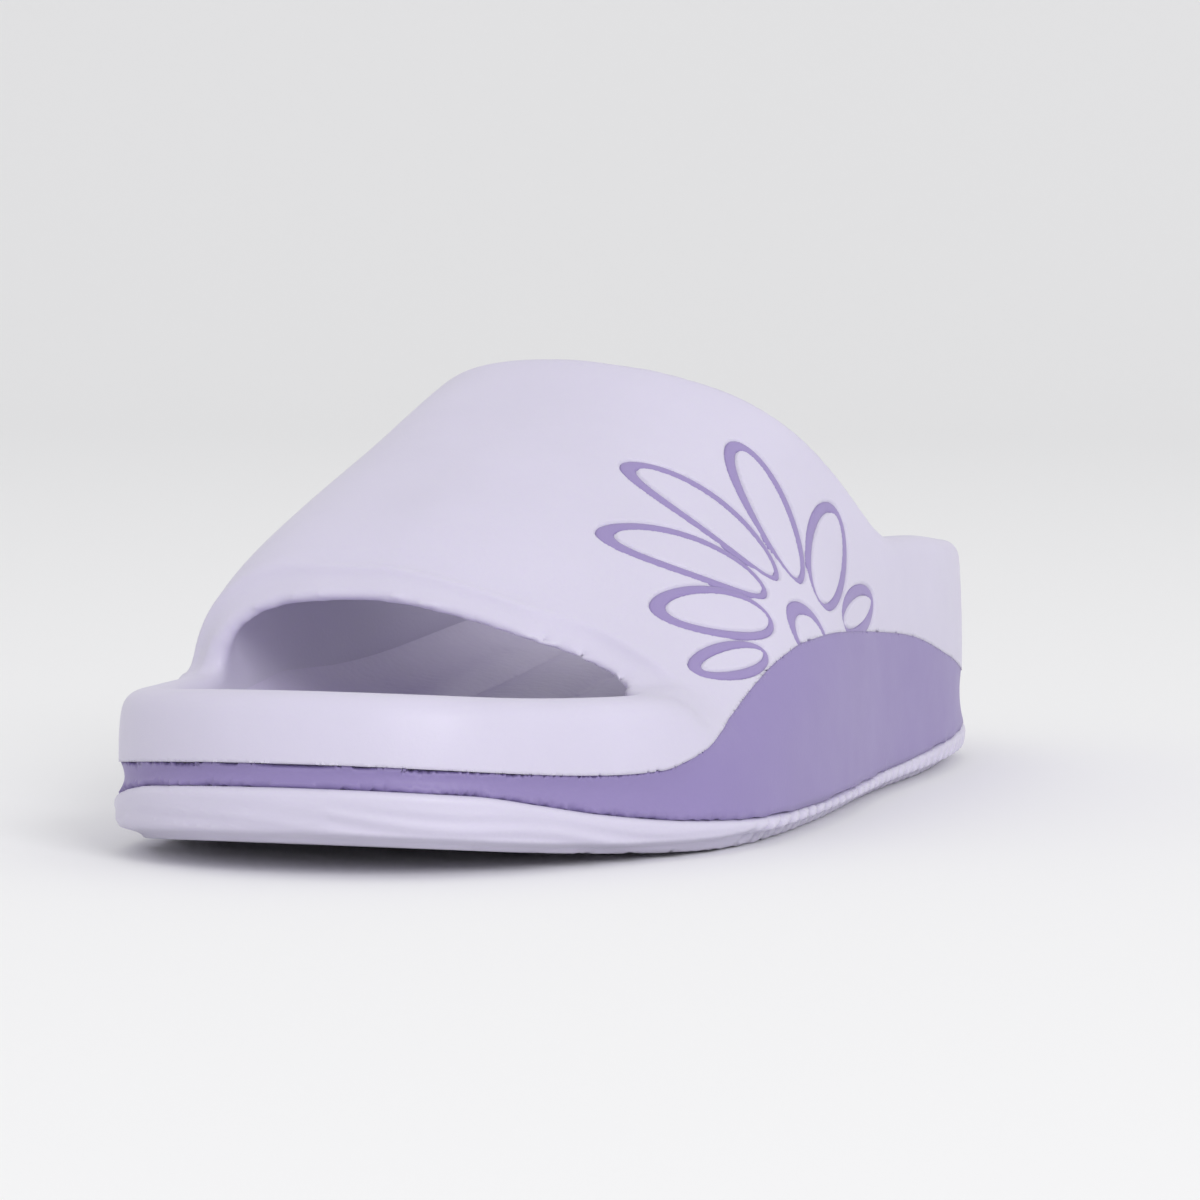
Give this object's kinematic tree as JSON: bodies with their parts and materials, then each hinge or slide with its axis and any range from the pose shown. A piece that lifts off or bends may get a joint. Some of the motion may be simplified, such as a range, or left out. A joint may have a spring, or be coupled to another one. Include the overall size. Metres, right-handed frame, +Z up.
{
  "type": "moulded foam slide",
  "caption": "Open-toe moulded foam slide for a left foot: wide strap, contoured ribbed footbed, contrast midsole that rises at the side, and treaded outsole.",
  "frame": {"origin": "middle of the sole's bounding box, on the plane the tread stands on", "axes": "+Y runs from the toe to the heel, +Z up, +X towards the outer side of a left foot"},
  "size_m": [0.1052, 0.2652, 0.0801],
  "materials": {
    "light_foam": "satin closed-cell foam, pale lavender",
    "footbed_foam": "satin closed-cell foam with a fine pebble grain, pale lavender",
    "dark_foam": "satin closed-cell foam, mid purple",
    "inlay_ink": "satin, mid purple, set slightly below the strap's surface"
  },
  "bodies": {
    "root": {"outsole": "light_foam", "midsole": "dark_foam", "upper_shell": "light_foam", "footbed": "footbed_foam", "petal_inlay_1": "inlay_ink", "petal_inlay_2": "inlay_ink", "petal_inlay_3": "inlay_ink", "petal_inlay_4": "inlay_ink", "petal_inlay_5": "inlay_ink", "flower_centre_inlay": "inlay_ink", "front_leaf_inlay": "inlay_ink", "rear_leaf_inlay": "inlay_ink"}
  },
  "joints": []
}
